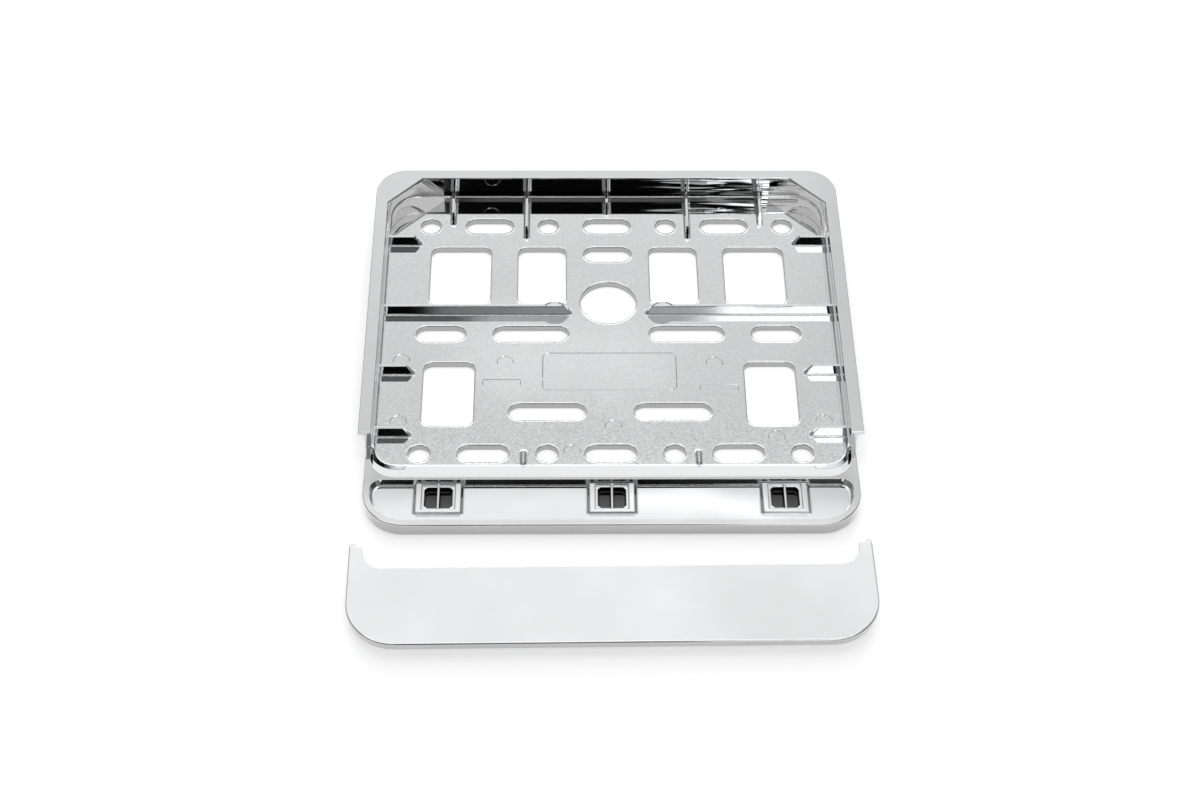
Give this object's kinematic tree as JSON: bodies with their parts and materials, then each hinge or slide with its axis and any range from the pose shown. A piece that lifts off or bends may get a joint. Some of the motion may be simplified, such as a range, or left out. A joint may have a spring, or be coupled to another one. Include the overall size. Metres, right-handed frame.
{
  "type": "number plate holder",
  "caption": "Chrome-plated number plate holder: a shallow ribbed tray with a pierced floor and an overhanging lip, with its plug-on cover strip taken off.",
  "frame": {"origin": "centre of the round centre hole, on the flat back face", "axes": "+X to the right, +Y towards the plate's upper edge, +Z out of the front, where the plate goes"},
  "size_m": [0.2049, 0.2475, 0.0148],
  "materials": {
    "base_chrome": "bright plated plastic",
    "strip_chrome": "bright plated plastic"
  },
  "bodies": {
    "root": {"holder_base": "base_chrome", "cover_strip": "strip_chrome"}
  },
  "joints": []
}
